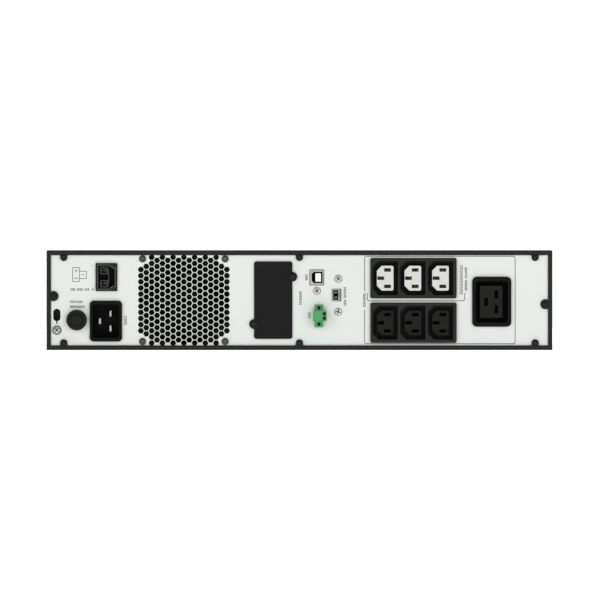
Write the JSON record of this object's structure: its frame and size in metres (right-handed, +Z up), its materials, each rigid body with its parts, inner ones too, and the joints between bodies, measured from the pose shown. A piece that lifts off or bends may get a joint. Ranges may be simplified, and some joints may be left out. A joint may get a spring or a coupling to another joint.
{
  "type": "rackmount ups",
  "caption": "Two-unit rack-mount uninterruptible power supply with fan, mains sockets, signal ports, turning display and slide-out battery drawer.",
  "frame": {"origin": "middle of the footprint, on the surface the case stands on", "axes": "+X to the right for someone facing the socket panel, +Y from the socket panel to the front bezel, +Z up"},
  "size_m": [0.438, 0.638, 0.0865],
  "materials": {
    "battery_case": "smooth moulded",
    "black_moulded": "fine moulded texture",
    "black_steel": "black oxide",
    "board_green": "solder mask",
    "brass_contact": "tinned in use, drawn as brass",
    "bright_steel": "nickel plated",
    "capacitor_sleeve": "shrink sleeve",
    "coil_copper": "enamelled winding",
    "core_steel": "varnished laminations",
    "dark_gloss": "polished",
    "finned_aluminium": "extruded",
    "green_moulded": "smooth moulded",
    "grey_moulded": "fine moulded texture",
    "ivory_moulded": "smooth moulded",
    "lead_plates": "pasted lead plates",
    "lens_tint": "dark tinted lens",
    "panel_white": "satin enamel",
    "powder_coat_black": "fine-textured powder coat",
    "powder_coat_grey": "fine-textured powder coat",
    "zinc_steel": "zinc plated, dull"
  },
  "bodies": {
    "case": {"base_pan": "powder_coat_grey", "top_cover": "powder_coat_grey", "cover_edges": "powder_coat_grey", "rear_panel": "panel_white", "inlet_panel": "panel_white", "fan_grille": "panel_white", "front_plate": "powder_coat_grey", "bay_divider": "zinc_steel", "cover_screws": "black_steel", "fan_frame": "black_moulded", "fan_bearing": "brass_contact", "fan_screws": "zinc_steel", "slot_cover": "powder_coat_black", "slot_cover_screws": "black_steel", "card_guides": "black_moulded", "battery_socket": "grey_moulded", "battery_socket_contacts": "bright_steel", "inlet_housing": "black_moulded", "inlet_pins": "bright_steel", "breaker_body": "black_moulded", "breaker_nut": "dark_gloss", "ground_screw": "zinc_steel", "usb_shell": "zinc_steel", "usb_tongue": "ivory_moulded", "jack_housing": "grey_moulded", "jack_contacts": "brass_contact", "comm_screws": "zinc_steel", "terminal_header": "green_moulded", "terminal_pins": "bright_steel", "outlet_block_upper": "black_moulded", "outlet_inserts_upper": "ivory_moulded", "outlet_block_lower": "black_moulded", "outlet_inserts_lower": "black_moulded", "outlet_contacts": "brass_contact", "large_outlet_housing": "black_moulded", "large_outlet_insert": "black_moulded", "circuit_boards": "board_green", "heat_sinks": "finned_aluminium", "capacitors": "capacitor_sleeve", "transformer_core": "core_steel", "transformer_coil": "coil_copper", "display_bezel": "black_moulded"},
    "fan": {"fan_rotor": "black_moulded", "fan_shaft": "bright_steel"},
    "reset_button": {"breaker_button": "dark_gloss"},
    "signal_plug": {"terminal_plug": "green_moulded", "terminal_screws": "zinc_steel"},
    "display": {"display_housing": "grey_moulded", "display_window": "lens_tint", "display_board": "board_green"},
    "power_key": {"power_button": "black_moulded"},
    "up_key": {"up_button": "black_moulded"},
    "down_key": {"down_button": "black_moulded"},
    "enter_key": {"enter_button": "black_moulded"},
    "battery_module": {"battery_tray": "zinc_steel", "battery_cases": "battery_case", "battery_plates": "lead_plates", "battery_terminals": "brass_contact", "tray_screws": "bright_steel"},
    "battery_cover": {"battery_bezel": "black_moulded"}
  },
  "joints": [
    {"name": "fan_spin", "type": "hinge", "parent": "case", "child": "fan", "pos_m": [-0.1001, -0.2968, 0.04325], "axis": [0, 1, 0], "continuous": true},
    {"name": "reset_press", "type": "slide", "parent": "case", "child": "reset_button", "axis": [0, 1, 0], "range_m": [0, 0.0015], "stiffness_N_per_m": 600},
    {"name": "plug_pull", "type": "slide", "parent": "case", "child": "signal_plug", "axis": [0, -1, 0], "range_m": [0, 0.014]},
    {"name": "display_turn", "type": "hinge", "parent": "case", "child": "display", "pos_m": [0.158, 0.29, 0.04325], "axis": [0, 1, 0], "range_deg": [0, 90]},
    {"name": "power_press", "type": "slide", "parent": "display", "child": "power_key", "axis": [0, -1, 0], "range_m": [0, 0.001], "stiffness_N_per_m": 400},
    {"name": "up_press", "type": "slide", "parent": "display", "child": "up_key", "axis": [0, -1, 0], "range_m": [0, 0.001], "stiffness_N_per_m": 400},
    {"name": "down_press", "type": "slide", "parent": "display", "child": "down_key", "axis": [0, -1, 0], "range_m": [0, 0.001], "stiffness_N_per_m": 400},
    {"name": "enter_press", "type": "slide", "parent": "display", "child": "enter_key", "axis": [0, -1, 0], "range_m": [0, 0.001], "stiffness_N_per_m": 400},
    {"name": "battery_slide", "type": "slide", "parent": "case", "child": "battery_module", "axis": [0, 1, 0], "range_m": [0, 0.33]},
    {"name": "cover_pull", "type": "slide", "parent": "battery_module", "child": "battery_cover", "axis": [0, 1, 0], "range_m": [0, 0.04]}
  ]
}
